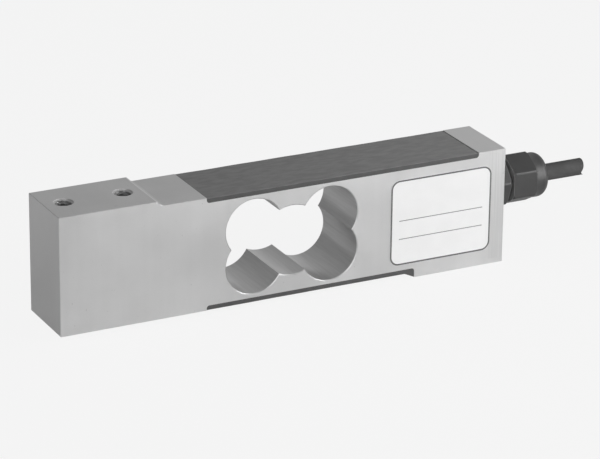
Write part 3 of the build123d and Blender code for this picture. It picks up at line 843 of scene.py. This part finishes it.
class LOADCELL_OT_gland(bpy.types.Operator):
    """Moulds the gland's body with its screw thread and the dome nut, and dresses the gasket and the seal"""

    bl_idname = "load_cell.gland"
    bl_label = "Cable gland"

    def execute(self, context):
        settings = context.scene.load_cell.gland
        plastic = self.plastic_with_painted_gap_light(settings)
        parts = (
            ("dome_nut", self.nut_grid(settings), "gland_nut"),
            ("gland_stem", self.body_grid(settings), "gland_body"),
        )
        for name, grid, node in parts:
            piece = add_piece(name, [closed_shell(grid, wrap_rows=True)], plastic)
            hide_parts(node)
        rubber = moulded("gland_rubber", (0.03, 0.03, 0.03), 0.7, (3.0, 3.0, 3.0), 0.15, 0.3)
        dress(rubber, "gland_gasket", "gland_seal")
        return {"FINISHED"}

    def plastic_with_painted_gap_light(self, settings):
        """Moulded plastic with patches of tone and a fine grain, and painted light in the gap between the
        two hexagons.
        """
        material, tree, shader = new_material("gland_plastic")
        clean, fine = patchy(tree, settings.colour, (5.0, 5.0, 5.0), 0.1)
        distance = distance_from(tree, 0, (BODY_SHOULDER + NUT_FACE) / 2 * MM)
        half_gap = (NUT_FACE - BODY_SHOULDER) / 2
        # Painted light: the plastic in the shaded gap between the hexagons is made four times as light.
        painted_gap_light = ranged(tree, distance, 1.0, 0.0, (half_gap + 0.02) * MM, (half_gap + 0.12) * MM)
        gap_lit = mixed(tree, painted_gap_light, clean, tint(settings.colour, 4.0))
        drive(tree, shader, gap_lit, ranged(tree, fine, 0.33, 0.43), fine, 0.2)
        return material

    def hexagon_rows(self, settings, start, end, angle, turn):
        """A hexagon with turned chamfers: everywhere the smaller of a rounded hexagon's and a cone's radius.

        The rings lie close together over the two chamfers.
        """
        near = np.array([0.0, 0.1, 0.2, 0.3, HEXAGON_CHAMFER])
        x = np.concatenate([start + near, np.linspace(start + 1, end - 1, 6), end - near[::-1]])[:, None]
        flats = settings.across_flats / MM
        end_radius = flats / math.sqrt(3) - HEXAGON_TRIM - HEXAGON_CHAMFER
        cone = end_radius + np.clip(np.minimum(x - start, end - x), 0, HEXAGON_CHAMFER)
        return round_x(x, np.minimum(rounded_hexagon(angle, flats, HEXAGON_CORNER, turn), cone), angle)

    def nut_grid(self, settings):
        """The dome nut: bore, hexagon, dome with a quarter circle shoulder, and the hole for the cable."""
        angle = full_turn(288)
        shoulder, radius = settings.dome_round / MM, settings.dome_radius / MM
        quarter = np.linspace(0, np.pi / 2, 16)[:, None]
        shoulder_x = DOME_END - shoulder * (1 - np.sin(quarter))
        return np.concatenate([
            turned([(NUT_FACE, NUT_BORE)], angle),
            self.hexagon_rows(settings, NUT_FACE, DOME_START, angle, math.pi / 2),
            turned([(DOME_START, radius + 0.1), (DOME_START + 0.15, radius)], angle),
            round_x(shoulder_x, radius - shoulder * (1 - np.cos(quarter)), angle),
            turned([(DOME_END, NUT_EXIT + 0.3), (DOME_END - 0.08, NUT_EXIT + 0.08)], angle),
            turned([(DOME_END - 0.3, NUT_EXIT), (CONE_END, NUT_EXIT)], angle),
            turned([(CONE_END, NUT_CONE), (CONE_START, NUT_BORE)], angle),
        ])

    def body_grid(self, settings):
        """The gland's body: stem, hexagon, threaded neck, clamping fingers and bore."""
        angle = full_turn(288)
        return np.concatenate([
            turned([(STEM_START, BODY_BORE), (STEM_START, STEM_RADIUS - 0.3)], angle),
            turned([(STEM_START + 0.3, STEM_RADIUS), (GASKET_FACE, STEM_RADIUS)], angle),
            self.hexagon_rows(settings, GASKET_FACE, BODY_SHOULDER, angle, math.radians(110)),
            self.neck_rows(settings, angle),
            self.finger_rows(angle),
            turned([(FINGER_END, SEAL_BORE), (SEAL_START, SEAL_BORE), (SEAL_START, BODY_BORE)], angle),
        ])

    def neck_rows(self, settings, angle):
        """The neck's thread, a ripple of its radius.

        Its phase is the place along the axis over the pitch less the angle in turns, so a crest climbs
        one pitch a turn.
        """
        x = np.linspace(BODY_SHOULDER + 0.01, SLOT_START, 90)[:, None]
        phase = (x / (settings.thread_pitch / MM) - angle / (2 * np.pi)) % 1.0
        ridge = np.clip(1.3 - 2.6 * np.abs(phase - 0.5), 0, 1)
        return round_x(x, NECK_CORE + (NECK_RADIUS - NECK_CORE) * ridge, angle)

    def finger_rows(self, angle):
        """Six clamping fingers: within half a slot's width of its middle the radius drops to its floor."""
        x = np.array([[SLOT_START + 0.05], [CONE_START], [FINGER_END]])
        finger = np.array([[NECK_RADIUS], [NECK_RADIUS], [FINGER_TIP]])
        sixth = math.radians(60)
        off_slot = np.abs(angle % sixth - sixth / 2)
        return round_x(x, np.where(off_slot * finger < SLOT_HALF_WIDTH, SLOT_FLOOR, finger), angle)


# What the compound covers

class LOADCELL_OT_electronics(bpy.types.Operator):
    """Dresses the strain gauges, their leads, the board and what it carries"""

    bl_idname = "load_cell.electronics"
    bl_label = "Gauges and board"

    def execute(self, context):
        gauges = [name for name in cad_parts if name.startswith("strain_gauge")]
        if not gauges:
            raise RuntimeError("the packed model has no strain gauges")
        film, tree, shader = new_material("gauge_film", Coat_Weight=0.3)
        foil = grain(tree, (0.3, 5.6, 5.6), 1.0, 0.45, 0.55)
        foiled = mixed(tree, foil, (0.42, 0.22, 0.06, 1), (0.6, 0.4, 0.18, 1))
        drive(tree, shader, foiled, ranged(tree, foil, 0.4, 0.3))
        dress(film, *gauges)
        laminate = moulded("board_laminate", (0.02, 0.12, 0.05), 0.35, (4.0, 4.0, 4.0), 0.2, 0.1)
        dress(laminate, "circuit_board")
        lacquer = moulded("resistor_body", (0.02, 0.02, 0.02), 0.3, (6.0, 6.0, 6.0), 0.2, 0.1)
        dress(lacquer, "board_resistors", "span_resistor")
        tin = moulded("solder_tin", (0.62, 0.62, 0.64), 0.3, (4.0, 4.0, 4.0), 0.1, 0.3, Metallic=1.0)
        dress(tin, "solder_joints")
        copper = moulded("lead_copper", (0.72, 0.38, 0.2), 0.35, (0.5, 8.0, 8.0), 0.15, 0.2, Metallic=1.0)
        dress(copper, "top_gauge_wires", "bottom_gauge_wires")
        return {"FINISHED"}


# Stage

class LOADCELL_OT_stage(bpy.types.Operator):
    """Sets the pale floor, the soft lamps, the room light and the camera"""

    bl_idname = "load_cell.stage"
    bl_label = "Studio"

    def execute(self, context):
        settings = context.scene.load_cell.stage
        context.scene.view_settings.view_transform = "Standard"
        self.floor(context, settings)
        self.room(context, settings)
        self.lamp(context, "key_lamp", settings.key_power, size=0.5, place=(0.4, -0.4, 0.18))
        self.lamp(context, "fill_lamp", settings.fill_power, size=0.6, place=(-0.35, -0.4, 0.25))
        self.lamp(context, "rear_lamp", settings.rear_power, size=0.5, place=(0.5, 0.5, 0.25))
        self.camera(context, settings)
        return {"FINISHED"}

    def shown_share(self, tree, settings):
        """1 for what the camera sees and through glass, and a share of it for reflections."""
        path = put(tree, "ShaderNodeLightPath").outputs
        glossy = calculated(tree, "MULTIPLY", path["Is Glossy Ray"], settings.mirrored)
        direct = calculated(tree, "MAXIMUM", path["Is Camera Ray"], path["Is Transmission Ray"])
        return calculated(tree, "MAXIMUM", direct, glossy)

    def floor(self, context, settings):
        """A wide level sheet that mixes its lit surface with the background's even tone."""
        material = bpy.data.materials.new("studio_floor")
        material.use_nodes = True
        tree = material.node_tree
        tree.nodes.clear()
        lit = put(tree, "ShaderNodeBsdfDiffuse", {"Color": (0.8, 0.8, 0.8, 1.0)}).outputs[0]
        sockets = {"Color": (settings.paper,) * 3 + (1.0,), "Strength": 1.0}
        even = put(tree, "ShaderNodeEmission", sockets).outputs[0]
        share = calculated(tree, "MULTIPLY", self.shown_share(tree, settings), settings.floor_share)
        blend = put(tree, "ShaderNodeMixShader", {0: share, 1: lit, 2: even})
        put(tree, "ShaderNodeOutputMaterial", {"Surface": blend.outputs[0]})
        reach, level = 6.0, -FLOOR_GAP * MM
        mesh = bpy.data.meshes.new("studio_floor")
        corners = [(x * reach, y * reach, level) for x, y in ((-1, -1), (1, -1), (1, 1), (-1, 1))]
        mesh.from_pydata(corners, [], [(0, 1, 2, 3)])
        mesh.materials.append(material)
        floor = bpy.data.objects.new("studio_floor", mesh)
        context.scene.collection.objects.link(floor)

    def room(self, context, settings):
        """Soft light from all round, strongest from the cable end. The camera sees an even tone instead."""
        world = bpy.data.worlds.new("studio_room")
        world.use_nodes = True
        tree = world.node_tree
        tree.nodes.clear()
        towards = put(tree, "ShaderNodeTexCoord").outputs["Generated"]
        sockets = {0: towards, 1: (1.0, 0.0, 0.0)}
        facing = put(tree, "ShaderNodeVectorMath", sockets, operation="DOT_PRODUCT").outputs["Value"]
        strength = ranged(tree, facing, settings.dark_side, settings.bright_side, -1.0, 1.0)
        light, paper = (
            put(tree, "ShaderNodeBackground", {"Color": (1, 1, 1, 1), "Strength": value}).outputs[0]
            for value in (strength, settings.paper)
        )
        share = self.shown_share(tree, settings)
        blend = put(tree, "ShaderNodeMixShader", {0: share, 1: light, 2: paper})
        put(tree, "ShaderNodeOutputWorld", {"Surface": blend.outputs[0]})
        context.scene.world = world

    def lamp(self, context, name, power, size, place):
        """A square lamp at a place, turned towards the beam."""
        light = bpy.data.lights.new(name, "AREA")
        light.energy = power
        light.size = size
        lamp = bpy.data.objects.new(name, light)
        lamp.location = place
        aim = Vector((0.0, 0.0, 0.02)) - Vector(place)
        lamp.rotation_euler = aim.to_track_quat("-Z", "Y").to_euler()
        context.scene.collection.objects.link(lamp)

    def camera(self, context, settings):
        """The camera at the photograph's viewing angle, from its turn, tilt, roll and distance."""
        turn, tilt, roll = settings.turn, settings.tilt, settings.roll
        ahead = Vector((math.sin(turn) * math.cos(tilt), math.cos(turn) * math.cos(tilt), -math.sin(tilt)))
        right = Vector((math.cos(turn), -math.sin(turn), 0.0))
        up = right.cross(ahead)
        leaning_right = right * math.cos(roll) + up * math.sin(roll)
        leaning_up = up * math.cos(roll) - right * math.sin(roll)
        place = Vector(CAMERA_MIDDLE) * MM - ahead * settings.distance
        place += leaning_right * CAMERA_RIGHT * MM - leaning_up * CAMERA_DOWN * MM
        data = bpy.data.cameras.new("photo_camera")
        data.lens = settings.lens
        data.sensor_width = 36.0
        data.clip_start, data.clip_end = 0.05, 50.0
        camera = bpy.data.objects.new("photo_camera", data)
        axes = Matrix((leaning_right, leaning_up, -ahead)).transposed()
        camera.matrix_world = Matrix.Translation(place) @ axes.to_4x4()
        context.scene.collection.objects.link(camera)
        context.scene.camera = camera


STEPS = (
    LOADCELL_OT_stage,
    LOADCELL_OT_cable,
    LOADCELL_OT_steel,
    LOADCELL_OT_compound,
    LOADCELL_OT_label,
    LOADCELL_OT_gland,
    LOADCELL_OT_electronics,
)


class LOADCELL_PT_panel(bpy.types.Panel):
    """Lists the load cell's settings and steps"""

    bl_idname = "LOADCELL_PT_panel"
    bl_label = "Load cell"
    bl_space_type = "VIEW_3D"
    bl_region_type = "UI"
    bl_category = "Load cell"

    def draw(self, context):
        settings = context.scene.load_cell
        for group in LOADCELL_PG_all.__annotations__:
            box = self.layout.box()
            box.label(text=group.capitalize())
            values = getattr(settings, group)
            for name in values.__annotations__:
                box.prop(values, name)
        for step in STEPS:
            self.layout.operator(step.bl_idname)


CLASSES = (
    LOADCELL_PG_steel,
    LOADCELL_PG_compound,
    LOADCELL_PG_label,
    LOADCELL_PG_gland,
    LOADCELL_PG_cable,
    LOADCELL_PG_stage,
    LOADCELL_PG_all,
    *STEPS,
    LOADCELL_PT_panel,
)


def register():
    for item in CLASSES:
        bpy.utils.register_class(item)
    bpy.types.Scene.load_cell = PointerProperty(type=LOADCELL_PG_all)


def unregister():
    del bpy.types.Scene.load_cell
    for item in reversed(CLASSES):
        bpy.utils.unregister_class(item)


def main():
    register()
    bpy.ops.load_cell.stage()
    bpy.ops.load_cell.cable()
    bpy.ops.load_cell.steel()
    bpy.ops.load_cell.compound()
    bpy.ops.load_cell.label()
    bpy.ops.load_cell.gland()
    bpy.ops.load_cell.electronics()


if __name__ == "__main__":
    main()
